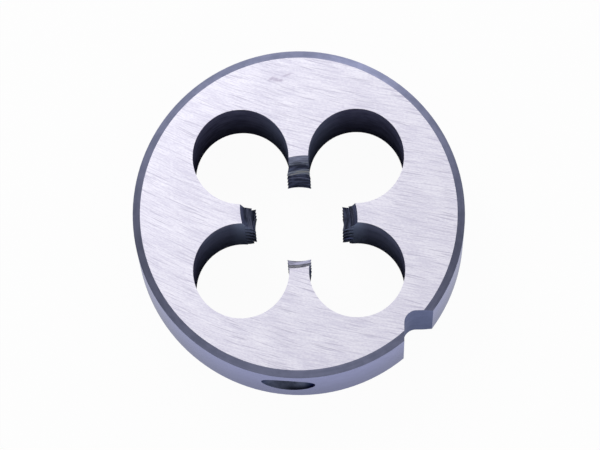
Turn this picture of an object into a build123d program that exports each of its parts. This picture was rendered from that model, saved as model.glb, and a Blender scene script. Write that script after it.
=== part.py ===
from build123d import *
import math
import os

# Round threading die for a 1/2 inch right-hand thread, 13 threads per inch.
# One hardened and ground steel disc: a threaded bore broken up into four lands
# by four chip holes, a V-notch and four screw dimples in its rim.
# Frame: the bore's axis is Z, the lower face lies on Z = 0, the lands point
# along X and Y, and the notch points halfway between +X and -Y. Millimetres
# and degrees.

# Disc
BODY_DIAMETER = 38.0
THICKNESS = 14.0
RIM_CHAMFER_WIDTH = 0.85
RIM_CHAMFER_HEIGHT = 0.5

# Thread, 60 degree form
INCH = 25.4
THREADS_PER_INCH = 13
MAJOR_RADIUS = INCH / 4
THREAD_HALF_ANGLE = 30

# Height of the groove's middle over the start of its first turn
THREAD_START_HEIGHT = -0.54

# Lead at the upper, starting face: a slightly tapered recess, then a cone down
# to the crests. Each land's is relieved behind its cutting edge by a shift of
# its axis, and the lands' differ in how far above full depth they stop.
UPPER_MOUTH_RADIUS = 6.72
RECESS_DEPTH = 1.9
LEAD_HALF_ANGLE = 29
LEAD_RELIEF_SHIFT = 0.7
LEAD_CUTTER_ARC = 60
LEAD_LIFTS = (0, 0, 0, 1.7)

# Short plain lead at the lower face
LOWER_MOUTH_RADIUS = 6.2
LOWER_LEAD_LENGTH = 2.2

# Chip holes
CHIP_HOLES = 4
CHIP_HOLE_RADIUS = 5.5
CHIP_CIRCLE_RADIUS = 9.35

# V-notch, through the whole thickness of the rim, outside one chip hole
NOTCH_DIRECTION = -45
NOTCH_APEX_RADIUS = 16.45
NOTCH_SIDE_OFFSET = 0.4
NOTCH_FILLET = 1.45

# Conical dimples for the holder's screws
DIMPLE_HEIGHT = 7.8
DIMPLE_RADIUS = 3.35
DIMPLE_HALF_ANGLE = 45
DIMPLE_SPACING = 90
ADJUSTING_DIMPLE_OFFSET = 1.65

# Cutters run on past the surface that they cut
OVERRUN = 0.15
CUTTER_REACH = 4.0

# Worked out from the above
BODY_RADIUS = BODY_DIAMETER / 2
PITCH = INCH / THREADS_PER_INCH
THREAD_SLOPE = math.tan(math.radians(THREAD_HALF_ANGLE))
SHARP_V_HEIGHT = PITCH / 2 / THREAD_SLOPE
PITCH_RADIUS = MAJOR_RADIUS - SHARP_V_HEIGHT * 3 / 8
CREST_RADIUS = MAJOR_RADIUS - SHARP_V_HEIGHT * 17 / 24
RECESS_SLOPE = (UPPER_MOUTH_RADIUS - MAJOR_RADIUS) / RECESS_DEPTH
LEAD_SLOPE = math.tan(math.radians(LEAD_HALF_ANGLE))
LAND_DIRECTIONS = [360 / CHIP_HOLES * n for n in range(CHIP_HOLES)]
CHIP_HOLE_DIRECTION = 180 / CHIP_HOLES
TURNS = math.ceil(THICKNESS / PITCH)
DIMPLE_SLOPE = math.tan(math.radians(DIMPLE_HALF_ANGLE))


def groove_corner(radius, side):
    """Corner of the thread groove's section, measured from the pitch line."""
    half_width = PITCH / 4 + (PITCH_RADIUS - radius) * THREAD_SLOPE
    return (radius - PITCH_RADIUS, side * half_width)


def dimple_plane(direction, offset):
    """Plane at a dimple's apex, its normal pointing out along the screw.

    direction is the screw's angle about Z. offset moves the screw's line
    sideways, towards larger angles where it is positive.
    """
    outward = Vector(1, 0, 0).rotate(Axis.Z, direction)
    sideways = Vector(0, 1, 0).rotate(Axis.Z, direction)
    apex_radius = math.sqrt(BODY_RADIUS**2 - offset**2) - DIMPLE_RADIUS / DIMPLE_SLOPE
    apex = outward * apex_radius + sideways * offset + Vector(0, 0, DIMPLE_HEIGHT)
    return Plane(origin=apex, x_dir=(0, 0, 1), z_dir=outward)


# The two screws beside the notch press off the land's centre line, away from
# the notch, so that tightening them closes it. The two far ones only hold.
DIMPLE_PLANES = [
    dimple_plane(
        NOTCH_DIRECTION + side * DIMPLE_SPACING * steps,
        side * offset,
    )
    for side in (-1, 1)
    for steps, offset in ((1 / 2, ADJUSTING_DIMPLE_OFFSET), (3 / 2, 0))
]

# The cutter for one turn of the thread groove
with BuildPart() as groove_turn:
    with BuildLine() as turn:
        Helix(pitch=PITCH, height=PITCH, radius=PITCH_RADIUS)
    with BuildSketch(Plane.XZ.shift_origin((PITCH_RADIUS, 0, 0))):
        with BuildLine():
            Polyline(
                groove_corner(CREST_RADIUS - OVERRUN, -1),
                groove_corner(MAJOR_RADIUS, -1),
                groove_corner(MAJOR_RADIUS, 1),
                groove_corner(CREST_RADIUS - OVERRUN, 1),
                close=True,
            )
        make_face()
    sweep(path=turn.line, is_frenet=True)

# The cutter for one land's lead: a slice of the recess and of the cone below
# it, down to the cone's tip
with BuildPart() as lead_cutter:
    with BuildSketch(Plane.XZ):
        with BuildLine():
            Polyline(
                (0, THICKNESS - RECESS_DEPTH - MAJOR_RADIUS / LEAD_SLOPE),
                (MAJOR_RADIUS, THICKNESS - RECESS_DEPTH),
                (UPPER_MOUTH_RADIUS + OVERRUN * RECESS_SLOPE, THICKNESS + OVERRUN),
                (0, THICKNESS + OVERRUN),
                close=True,
            )
        make_face()
    revolve(axis=Axis.Z, revolution_arc=LEAD_CUTTER_ARC)

with BuildPart() as round_die:
    # Disc with its chamfered rim, and a plain bore with the lower lead
    with BuildSketch(Plane.XZ):
        with BuildLine():
            Polyline(
                (LOWER_MOUTH_RADIUS, 0),
                (BODY_RADIUS - RIM_CHAMFER_WIDTH, 0),
                (BODY_RADIUS, RIM_CHAMFER_HEIGHT),
                (BODY_RADIUS, THICKNESS - RIM_CHAMFER_HEIGHT),
                (BODY_RADIUS - RIM_CHAMFER_WIDTH, THICKNESS),
                (CREST_RADIUS, THICKNESS),
                (CREST_RADIUS, LOWER_LEAD_LENGTH),
                close=True,
            )
        make_face()
    revolve(axis=Axis.Z)

    # Chip holes, which leave the four lands between them
    with BuildSketch():
        with PolarLocations(CHIP_CIRCLE_RADIUS, CHIP_HOLES, start_angle=CHIP_HOLE_DIRECTION):
            Circle(CHIP_HOLE_RADIUS)
    extrude(amount=THICKNESS, mode=Mode.SUBTRACT)

    # Upper lead, land by land. The die cuts as it turns towards larger angles, so
    # each cone's axis is shifted the other way.
    with Locations(
        *[
            Location((0, 0, 0), (0, 0, direction))
            * Location((0, -LEAD_RELIEF_SHIFT, lift), (0, 0, -LEAD_CUTTER_ARC / 2))
            for direction, lift in zip(LAND_DIRECTIONS, LEAD_LIFTS)
        ]
    ):
        add(lead_cutter.part, mode=Mode.SUBTRACT)

    # Thread, cut turn by turn past both faces. Each turn starts over a chip hole.
    with Locations(
        *[
            Location((0, 0, THREAD_START_HEIGHT + PITCH * n), (0, 0, CHIP_HOLE_DIRECTION))
            for n in range(-1, TURNS + 1)
        ]
    ):
        add(groove_turn.part, mode=Mode.SUBTRACT)

    # Notch, a square V with a rounded bottom
    with BuildSketch(Plane.XY.rotated((0, 0, NOTCH_DIRECTION))) as notch:
        with BuildLine():
            Polyline(
                (NOTCH_APEX_RADIUS, NOTCH_SIDE_OFFSET),
                (NOTCH_APEX_RADIUS + CUTTER_REACH, NOTCH_SIDE_OFFSET + CUTTER_REACH),
                (NOTCH_APEX_RADIUS + CUTTER_REACH, NOTCH_SIDE_OFFSET - CUTTER_REACH),
                close=True,
            )
        make_face()
        fillet(notch.vertices().sort_by_distance((0, 0, 0))[0], NOTCH_FILLET)
    extrude(amount=THICKNESS, mode=Mode.SUBTRACT)

    # Dimples, each cone cut from its apex outwards
    with Locations(*DIMPLE_PLANES):
        Cone(
            bottom_radius=0,
            top_radius=CUTTER_REACH * DIMPLE_SLOPE,
            height=CUTTER_REACH,
            align=(Align.CENTER, Align.CENTER, Align.MIN),
            mode=Mode.SUBTRACT,
        )

round_die.part.label = "round_die"
os.makedirs("parts", exist_ok=True)
export_step(round_die.part, "parts/round_die.step")
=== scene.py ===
import bpy
import math
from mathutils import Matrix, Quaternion, Vector


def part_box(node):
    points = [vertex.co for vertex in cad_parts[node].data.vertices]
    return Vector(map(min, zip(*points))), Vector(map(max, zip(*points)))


# The finish of a round threading die: ground faces, a turned rim and notch, and
# near-black dimples, chip holes and threads. Lengths are in millimetres until
# they reach Blender, and angles in degrees.

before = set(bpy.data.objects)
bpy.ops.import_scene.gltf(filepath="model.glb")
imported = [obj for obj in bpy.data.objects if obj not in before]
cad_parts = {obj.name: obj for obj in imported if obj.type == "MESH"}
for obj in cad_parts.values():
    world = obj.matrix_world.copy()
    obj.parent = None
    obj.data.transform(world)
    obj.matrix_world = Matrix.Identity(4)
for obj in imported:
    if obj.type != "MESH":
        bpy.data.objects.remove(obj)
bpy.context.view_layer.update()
MM = 0.001

# The die, from its own box and the record
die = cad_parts["round_die"]
low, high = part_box("round_die")
BODY_RADIUS = (high[0] - low[0]) / 2 / MM
THICKNESS = (high[2] - low[2]) / MM
RIM_CHAMFER_WIDTH = 0.85
RIM_CHAMFER_HEIGHT = 0.5
CHIP_HOLE_RADIUS = 5.5
CHIP_CIRCLE_RADIUS = 9.35
NOTCH_DIRECTION = -45

# How the faces are told apart: the rim and its features lie farther out than
# RIM_ZONE_RADIUS, the notch's within NOTCH_SPREAD of its direction, and a face's
# middle lies within a tolerance of the curved surface that it belongs to
RIM_ZONE_RADIUS = 15
NOTCH_SPREAD = 15
RIM_TOLERANCE = 0.05
CHIP_HOLE_TOLERANCE = 0.08

# Upright part of the normal of a level face, a chamfer and a wall, and the part
# of the rim's normal that points away from the axis
LEVEL = 0.99
CHAMFERED = 0.5
UPRIGHT = 0.01
OUTWARD = 0.9

# Slope of the grinding marks on the faces at X = 0, and how it changes along X
MARK_SLOPE = -0.24
MARK_BEND = 0.0048
MARK_TWIST = -0.00013

# Noise cells per millimetre along each axis. The ground face's first axis runs
# with the grinding marks.
GROUND_FINE = (0.35, 7, 1)
GROUND_GRAIN = (3, 6, 1)
GROUND_BLOTCH = (0.2, 0.4, 1)
RIM_CLOUD = (0.9, 0.9, 0.9)
CHIP_HOLE_CLOUD = (0.5, 0.5, 0.5)
THREAD_CLOUD = (1.2, 1.2, 1.2)

# The two layers of deeper scores on the ground faces: slope against the marks,
# and the height at which the noise is cut
SCORE_LAYERS = ((0.0, 0), (0.1, 40))

# Smudges on the upper face: middle, angle, half length and half width
SMUDGES = (
    ((-3.0, 15.73), 35, 0.45, 0.2),
    ((-2.43, 15.58), -10, 0.55, 0.25),
    ((-1.96, 15.49), 5, 0.35, 0.13),
    ((-1.21, 16.13), 18, 0.65, 0.12),
)

# Camera
CAMERA_AZIMUTH = 3.25
CAMERA_ELEVATION = 79.8
CAMERA_ROLL = -3.74
CAMERA_DISTANCE = 653.4
CAMERA_AIM = (0.064, -0.118, THICKNESS / 2)
FOCAL_LENGTH = 339.6
SENSOR_WIDTH = 36

# Floor: size in metres, height over the lower face, scene-linear colour, and how
# much of what the camera sees of it is plain white. The height keeps the floor
# and the lower face out of one plane, where they would show in streaks.
FLOOR_SIZE = 6
FLOOR_HEIGHT = 0.02
FLOOR_COLOUR = (0.85, 0.85, 0.86, 1)
FLOOR_WHITE = 0.96

# Upward part of the direction between which the world goes from the horizon's
# brightness to the zenith's
HORIZON_END = 0.5
ZENITH_START = 0.95

# Lamps: place, size and power
LAMPS = {
    "key": ((-125, 188, 360), 188, 0.358),
    "fill": ((95, 266, 115), 100, 0.017),
}


def colour(red, green, blue):
    """Scene-linear colour of the given display values, 0 to 255."""
    channels = [value / 255 for value in (red, green, blue)]
    linear = [c / 12.92 if c <= 0.04045 else ((c + 0.055) / 1.055) ** 2.4 for c in channels]
    return (*linear, 1)


# ---------------------------------------------------------------- node kit


class Graph:
    """A material's nodes, added with their inputs in one call each."""

    def __init__(self, name):
        self.material = bpy.data.materials.new(name)
        self.material.use_nodes = True
        self.tree = self.material.node_tree
        self.shader = self.tree.nodes["Principled BSDF"]
        place = self.tree.nodes.new("ShaderNodeTexCoord").outputs["Object"]
        self.place = self.stretch(place, (1 / MM, 1 / MM, 1 / MM))
        self.x, self.y, self.z = self.axes(self.place)

    def plug(self, socket, value):
        """Link a socket to another node's output, or set it to a plain value."""
        if isinstance(value, bpy.types.NodeSocket):
            self.tree.links.new(value, socket)
        else:
            socket.default_value = value

    def math(self, operation, first, second=0.0):
        node = self.tree.nodes.new("ShaderNodeMath")
        node.operation = operation
        self.plug(node.inputs[0], first)
        self.plug(node.inputs[1], second)
        return node.outputs[0]

    def times(self, first, second):
        return self.math("MULTIPLY", first, second)

    def weigh(self, *parts):
        """Sum of values, each with its weight."""
        total = 0.0
        for value, weight in parts:
            total = self.math("ADD", total, self.times(value, weight))
        return total

    def stretch(self, vector, scale):
        """Vector with each axis multiplied by its own scale."""
        node = self.tree.nodes.new("ShaderNodeVectorMath")
        node.operation = "MULTIPLY"
        self.plug(node.inputs[0], vector)
        self.plug(node.inputs[1], scale)
        return node.outputs["Vector"]

    def length(self, vector):
        node = self.tree.nodes.new("ShaderNodeVectorMath")
        node.operation = "LENGTH"
        self.plug(node.inputs[0], vector)
        return node.outputs["Value"]

    def axes(self, vector):
        node = self.tree.nodes.new("ShaderNodeSeparateXYZ")
        self.plug(node.inputs[0], vector)
        return node.outputs["X"], node.outputs["Y"], node.outputs["Z"]

    def point(self, x, y, z):
        node = self.tree.nodes.new("ShaderNodeCombineXYZ")
        for socket, value in zip(node.inputs, (x, y, z)):
            self.plug(socket, value)
        return node.outputs[0]

    def around_axis(self):
        """Angle about Z as an arc length at the rim, and distance from Z."""
        arc = self.times(self.math("ARCTAN2", self.y, self.x), BODY_RADIUS)
        return arc, self.length(self.point(self.x, self.y, 0.0))

    def noise(self, place, detail=3.0):
        """Noise of about one unit of its coordinates, 0 to 1."""
        node = self.tree.nodes.new("ShaderNodeTexNoise")
        self.plug(node.inputs["Vector"], place)
        node.inputs["Scale"].default_value = 1
        node.inputs["Detail"].default_value = detail
        node.inputs["Roughness"].default_value = 0.55
        return node.outputs["Fac"]

    def cloud(self, cells, detail):
        """Noise in the die's own coordinates, at so many cells per millimetre."""
        return self.noise(self.stretch(self.place, cells), detail)

    def ramp(self, value, start, end, low_value=0.0, high_value=1.0):
        """Smooth step from low_value at start to high_value at end."""
        node = self.tree.nodes.new("ShaderNodeMapRange")
        node.interpolation_type = "SMOOTHSTEP"
        sockets = ("Value", "From Min", "From Max", "To Min", "To Max")
        for name, setting in zip(sockets, (value, start, end, low_value, high_value)):
            self.plug(node.inputs[name], setting)
        return node.outputs["Result"]

    def blend(self, factor, first, second):
        """Mix of two colours."""
        node = self.tree.nodes.new("ShaderNodeMix")
        node.data_type = "RGBA"
        self.plug(node.inputs["Factor"], factor)
        self.plug(node.inputs["A"], first)
        self.plug(node.inputs["B"], second)
        return node.outputs["Result"]

    def mottle(self, noise, dark, light):
        """Two tones, told apart by noise."""
        return self.blend(self.ramp(noise, 0.35, 0.65), dark, light)

    def shade(self, base, factor):
        """Colour made brighter or darker by a factor."""
        return self.stretch(base, self.point(factor, factor, factor))

    def bump(self, height, depth):
        """Surface relief: height from 0 to 1 over a depth in millimetres."""
        node = self.tree.nodes.new("ShaderNodeBump")
        node.inputs["Strength"].default_value = 1
        node.inputs["Distance"].default_value = depth * MM
        self.plug(node.inputs["Height"], height)
        self.plug(self.shader.inputs["Normal"], node.outputs["Normal"])

    def finish(self, base, roughness, metallic=1.0, specular=0.5, edge=(1, 1, 1, 1)):
        """Set the shader. edge is a metal's tint where it is seen at a slant."""
        self.plug(self.shader.inputs["Base Color"], base)
        self.plug(self.shader.inputs["Roughness"], roughness)
        self.shader.inputs["Metallic"].default_value = metallic
        self.shader.inputs["Specular IOR Level"].default_value = specular
        self.shader.inputs["Specular Tint"].default_value = edge
        return self.material


# --------------------------------------------------------------- materials


def ground_steel():
    """Surface-ground face: bright, with thin, slightly bent marks and smudges."""
    graph = Graph("ground_steel")
    x, y, z = graph.x, graph.y, graph.z
    slope = graph.math("ADD", graph.times(x, MARK_TWIST), MARK_BEND)
    slope = graph.math("ADD", graph.times(x, slope), MARK_SLOPE)
    across = graph.math("SUBTRACT", y, graph.times(x, slope))
    place = graph.point(x, across, z)
    fine = graph.noise(graph.stretch(place, GROUND_FINE))
    grain = graph.noise(graph.stretch(place, GROUND_GRAIN), detail=2)
    blotch = graph.noise(graph.stretch(place, GROUND_BLOTCH), detail=4)
    tone = graph.weigh((fine, 0.45), (grain, 0.3), (blotch, 0.25))
    base = graph.blend(graph.ramp(tone, 0.36, 0.64), colour(213, 210, 228), colour(241, 239, 250))
    scores = 0.0
    along = graph.times(x, 0.2)
    for tilt, cut in SCORE_LAYERS:
        tilted = graph.math("ADD", across, graph.times(x, tilt))
        lines = graph.noise(graph.point(along, graph.times(tilted, 4.5), cut), detail=1)
        scores = graph.math("MAXIMUM", graph.ramp(lines, 0.6, 0.7), scores)
    strength = graph.times(scores, graph.ramp(blotch, 0.3, 0.7, 0.2, 0.55))
    base = graph.blend(strength, base, colour(166, 162, 186))
    for centre, angle, half_length, half_width in SMUDGES:
        spot = graph.tree.nodes.new("ShaderNodeMapping")
        spot.vector_type = "TEXTURE"
        spot.inputs["Location"].default_value = (*centre, THICKNESS)
        spot.inputs["Rotation"].default_value = (0, 0, math.radians(angle))
        spot.inputs["Scale"].default_value = (half_length, half_width, 1)
        graph.plug(spot.inputs["Vector"], graph.place)
        from_middle = graph.length(spot.outputs["Vector"])
        reach = graph.math("ADD", from_middle, graph.times(grain, 0.8))
        base = graph.blend(graph.ramp(reach, 0.6, 1.9, 0.6, 0.0), base, colour(172, 163, 187))
    graph.bump(graph.math("SUBTRACT", fine, graph.times(scores, 0.5)), 0.003)
    return graph.finish(base, graph.ramp(fine, 0.3, 0.7, 0.42, 0.36))


def turned_steel(name, dark, light, roughness, edge, painted_foot_shade=1.0):
    """Turned and heat-tinted surface, with fine marks around the axis.

    The last argument is how bright it is at the lower face, as a share of its
    brightness at the upper one: painted shade, darker towards the lower face.
    """
    graph = Graph(name)
    arc, radius = graph.around_axis()
    along = graph.times(arc, 0.08)
    across = graph.times(radius, 5)
    down = graph.times(graph.z, 5)
    marks = graph.noise(graph.point(along, across, down))
    tone = graph.weigh((marks, 0.4), (graph.cloud(RIM_CLOUD, 5), 0.6))
    base = graph.mottle(tone, dark, light)
    # Painted shade: darker towards the lower face, by the last argument
    base = graph.shade(base, graph.ramp(graph.z, 0, THICKNESS, painted_foot_shade, 1.0))
    graph.bump(marks, 0.004)
    return graph.finish(base, roughness, edge=edge)


def dimple_steel():
    """Cone of a screw dimple: dark, and darker still along its open edge on the side towards +X:
    painted shade.
    """
    graph = Graph("dimple_steel")
    radius = graph.around_axis()[1]
    base = graph.mottle(graph.cloud(RIM_CLOUD, 5), colour(66, 72, 90), colour(84, 90, 110))
    # Painted shade along the open edge, on the side towards +X
    near_rim = graph.ramp(radius, BODY_RADIUS - 0.55, BODY_RADIUS - 0.1)
    painted_edge_shade = graph.times(near_rim, graph.ramp(graph.x, -3.2, -0.6, 0.0, 0.9))
    base = graph.blend(painted_edge_shade, base, colour(10, 11, 20))
    return graph.finish(base, 0.4, edge=colour(150, 155, 175))


def drilled_steel():
    """Chip-hole wall: near-black, paler beside the lands, with painted shade that deepens towards
    the lower face.
    """
    graph = Graph("chip_hole_black")
    arc, radius = graph.around_axis()
    marks = graph.noise(graph.point(graph.times(arc, 0.1), 0.0, graph.times(graph.z, 3.5)))
    tone = graph.weigh((marks, 0.5), (graph.cloud(CHIP_HOLE_CLOUD, 4), 0.5))
    black = graph.mottle(tone, colour(64, 65, 87), colour(90, 91, 116))
    # Paler nearer the axis, where the lands are, and slightly paler a little farther out
    paler_near_lands = graph.ramp(radius, 6.2, 9.0, 0.9, 0.0)
    slightly_paler = graph.ramp(radius, 10.5, 13.5, 0.24, 0.0)
    base = graph.blend(graph.math("MAXIMUM", paler_near_lands, slightly_paler), black, colour(142, 154, 182))
    # Painted shade: darker deeper in the hole, lighter at its mouth
    base = graph.shade(base, graph.ramp(graph.z, -2, THICKNESS, 0.35, 1.6))
    graph.bump(marks, 0.01)
    return graph.finish(base, 0.6, metallic=0.0, specular=0.0)


def thread_steel():
    """Lands: dark thread and lead, with a painted highlight on the land towards -Y,
    painted shade on the lands towards +X and -X and deeper in the bore.

    The slant of a face tells crests, recess, lead cone and thread flanks apart,
    and their tones are partly painted light: a painted highlight on the lead
    cone and painted shade on the flanks.
    """
    graph = Graph("thread_steel")
    z = graph.z
    arc, radius = graph.around_axis()
    normal = graph.tree.nodes.new("ShaderNodeNewGeometry").outputs["True Normal"]
    slant = graph.axes(normal)[2]
    towards_y = graph.math("DIVIDE", graph.y, radius)
    # Painted highlight: the land towards -Y is made paler above Z = 9 mm
    painted_light_land = graph.times(graph.ramp(towards_y, -0.9, -0.5, 1.0, 0.0), graph.ramp(z, 9, 11))
    # Painted shade on the lands towards +X and -X
    shaded_side_land = graph.ramp(graph.math("ABSOLUTE", towards_y), 0.5, 0.9, 1.0, 0.0)
    marks = graph.noise(graph.point(graph.times(arc, 0.12), 0.0, graph.times(z, 4.5)))
    cloud = graph.cloud(THREAD_CLOUD, 4)
    flank = graph.mottle(cloud, colour(72, 77, 100), colour(94, 101, 128))
    # Painted shade on the flanks deeper in the bore, strongest on the lands towards +X and -X
    flank_shade_share = graph.math("MAXIMUM", shaded_side_land, 0.5)
    painted_flank_shade = graph.times(flank_shade_share, graph.ramp(z, 8, 10, 0.8, 0.0))
    flank = graph.blend(painted_flank_shade, flank, colour(30, 32, 44))
    flank = graph.blend(painted_light_land, flank, colour(176, 176, 200))
    # Crests: painted shade, darker deeper in the bore
    crest = graph.blend(graph.ramp(z, 6, 11), colour(84, 89, 111), colour(150, 154, 176))
    crest = graph.blend(painted_light_land, crest, colour(190, 190, 212))
    lead = graph.blend(graph.ramp(slant, 0.3, 0.4), colour(152, 157, 177), colour(220, 230, 255))
    lead = graph.blend(shaded_side_land, lead, colour(118, 122, 142))
    lead = graph.blend(painted_light_land, lead, colour(236, 236, 250))
    # Tones by slant: painted highlight on the lead cone, painted shade on the flanks
    base = graph.blend(graph.ramp(slant, 0.1, 0.15), crest, lead)
    base = graph.blend(graph.ramp(slant, 0.6, 0.7), base, flank)
    base = graph.shade(base, graph.ramp(marks, 0.4, 0.6, 0.5, 1.4))
    graph.bump(marks, 0.01)
    return graph.finish(base, 0.42, edge=colour(150, 152, 170))


# ------------------------------------------------------------------- zones

MATERIALS = {
    "ground": ground_steel(),
    "chamfer": turned_steel(
        "chamfer_steel", colour(137, 142, 172), colour(154, 158, 190), 0.28, colour(230, 230, 240)
    ),
    # The rim and the notch get painted shade towards the lower face (last argument).
    "rim": turned_steel(
        "rim_steel", colour(152, 154, 182), colour(164, 166, 194), 0.25, colour(184, 188, 216), 0.43
    ),
    "notch": turned_steel(
        "notch_steel", colour(110, 116, 144), colour(124, 130, 160), 0.4, colour(170, 176, 200), 0.7
    ),
    "dimple": dimple_steel(),
    "chip_hole": drilled_steel(),
    "thread": thread_steel(),
}


def zone(place, normal):
    """Which finish a face of the die has, from its middle and its normal."""
    radius = math.hypot(place.x, place.y)
    direction = math.degrees(math.atan2(place.y, place.x))
    chip_centre = CHIP_CIRCLE_RADIUS / math.sqrt(2)
    from_chip_axis = math.hypot(abs(place.x) - chip_centre, abs(place.y) - chip_centre)
    at_end = abs(place.z - THICKNESS / 2) > THICKNESS / 2 - RIM_CHAMFER_HEIGHT
    outward = (place.x * normal.x + place.y * normal.y) / radius
    if abs(normal.z) > LEVEL:
        return "ground"
    if radius > BODY_RADIUS - RIM_CHAMFER_WIDTH and at_end and abs(normal.z) > CHAMFERED:
        return "chamfer"
    if radius > BODY_RADIUS - RIM_TOLERANCE and outward > OUTWARD:
        return "rim"
    if radius > RIM_ZONE_RADIUS and abs(direction - NOTCH_DIRECTION) < NOTCH_SPREAD:
        return "notch"
    if radius > RIM_ZONE_RADIUS:
        return "dimple"
    if abs(from_chip_axis - CHIP_HOLE_RADIUS) < CHIP_HOLE_TOLERANCE and abs(normal.z) < UPRIGHT:
        return "chip_hole"
    return "thread"


def give_finishes():
    """Put each face of the die in the slot of its zone."""
    names = list(MATERIALS)
    die.data.materials.clear()
    for name in names:
        die.data.materials.append(MATERIALS[name])
    for polygon in die.data.polygons:
        polygon.material_index = names.index(zone(polygon.center / MM, polygon.normal))


# ------------------------------------------------------- floor, light, camera


def plain_floor():
    """White floor that still takes the die's shadow."""
    bpy.ops.mesh.primitive_plane_add(size=FLOOR_SIZE, location=(0, 0, FLOOR_HEIGHT * MM))
    floor = bpy.context.object
    floor.name = "floor"
    material = bpy.data.materials.new("floor")
    material.use_nodes = True
    tree = material.node_tree
    tree.nodes.clear()
    diffuse = tree.nodes.new("ShaderNodeBsdfDiffuse")
    diffuse.inputs["Color"].default_value = FLOOR_COLOUR
    white = tree.nodes.new("ShaderNodeEmission")
    white.inputs["Strength"].default_value = 1
    rays = tree.nodes.new("ShaderNodeLightPath")
    seen = rays.outputs["Is Camera Ray"]
    for name in ("Is Glossy Ray", "Is Transmission Ray"):
        either = tree.nodes.new("ShaderNodeMath")
        either.operation = "MAXIMUM"
        tree.links.new(seen, either.inputs[0])
        tree.links.new(rays.outputs[name], either.inputs[1])
        seen = either.outputs[0]
    share = tree.nodes.new("ShaderNodeMath")
    share.operation = "MULTIPLY"
    share.inputs[1].default_value = FLOOR_WHITE
    tree.links.new(seen, share.inputs[0])
    mix = tree.nodes.new("ShaderNodeMixShader")
    tree.links.new(share.outputs[0], mix.inputs[0])
    tree.links.new(diffuse.outputs[0], mix.inputs[1])
    tree.links.new(white.outputs[0], mix.inputs[2])
    output = tree.nodes.new("ShaderNodeOutputMaterial")
    tree.links.new(mix.outputs[0], output.inputs["Surface"])
    floor.data.materials.append(material)


def studio_world(horizon, behind, front, zenith):
    """Pale surroundings: dim to the sides, brighter behind, in front and overhead."""
    world = bpy.data.worlds.new("studio")
    bpy.context.scene.world = world
    world.use_nodes = True
    tree = world.node_tree
    coordinates = tree.nodes.new("ShaderNodeTexCoord")
    split = tree.nodes.new("ShaderNodeSeparateXYZ")
    tree.links.new(coordinates.outputs["Generated"], split.inputs[0])
    brightness = horizon
    for direction, share in ((1, behind), (-1, front)):
        facing = tree.nodes.new("ShaderNodeMath")
        facing.operation = "MULTIPLY"
        facing.use_clamp = True
        facing.inputs[1].default_value = direction
        tree.links.new(split.outputs["Y"], facing.inputs[0])
        raised = tree.nodes.new("ShaderNodeMath")
        raised.operation = "MULTIPLY_ADD"
        raised.inputs[1].default_value = share
        tree.links.new(facing.outputs[0], raised.inputs[0])
        if brightness is horizon:
            raised.inputs[2].default_value = horizon
        else:
            tree.links.new(brightness, raised.inputs[2])
        brightness = raised.outputs[0]
    height = tree.nodes.new("ShaderNodeMapRange")
    height.interpolation_type = "SMOOTHSTEP"
    height.inputs["From Min"].default_value = HORIZON_END
    height.inputs["From Max"].default_value = ZENITH_START
    height.inputs["To Max"].default_value = zenith
    tree.links.new(brightness, height.inputs["To Min"])
    tree.links.new(split.outputs["Z"], height.inputs["Value"])
    tree.links.new(height.outputs["Result"], tree.nodes["Background"].inputs["Color"])


def softbox(name, place, size, power):
    """Square area lamp at a place, turned to the middle of the die's upper face."""
    data = bpy.data.lights.new(name, "AREA")
    data.size = size * MM
    data.energy = power
    lamp = bpy.data.objects.new(name, data)
    bpy.context.scene.collection.objects.link(lamp)
    lamp.location = Vector(place) * MM
    aim = Vector((0, 0, THICKNESS)) - Vector(place)
    lamp.rotation_euler = aim.to_track_quat("-Z", "Y").to_euler()


def photo_camera():
    """Camera nearly overhead, at the chosen angle, aimed at the die's middle."""
    azimuth = math.radians(CAMERA_AZIMUTH)
    elevation = math.radians(CAMERA_ELEVATION)
    level = math.cos(elevation)
    back = Vector((math.sin(azimuth) * level, -math.cos(azimuth) * level, math.sin(elevation)))
    data = bpy.data.cameras.new("camera")
    data.sensor_width = SENSOR_WIDTH
    data.lens = FOCAL_LENGTH
    camera = bpy.data.objects.new("camera", data)
    bpy.context.scene.collection.objects.link(camera)
    camera.location = (Vector(CAMERA_AIM) + back * CAMERA_DISTANCE) * MM
    camera.rotation_mode = "QUATERNION"
    roll = Quaternion((0, 0, 1), math.radians(CAMERA_ROLL))
    camera.rotation_quaternion = (-back).to_track_quat("-Z", "Y") @ roll
    bpy.context.scene.camera = camera


give_finishes()
plain_floor()
studio_world(horizon=0.2, behind=0.64, front=0.25, zenith=0.72)
for name, (place, size, power) in LAMPS.items():
    softbox(name, place, size, power)
photo_camera()
bpy.context.scene.view_settings.view_transform = "Standard"
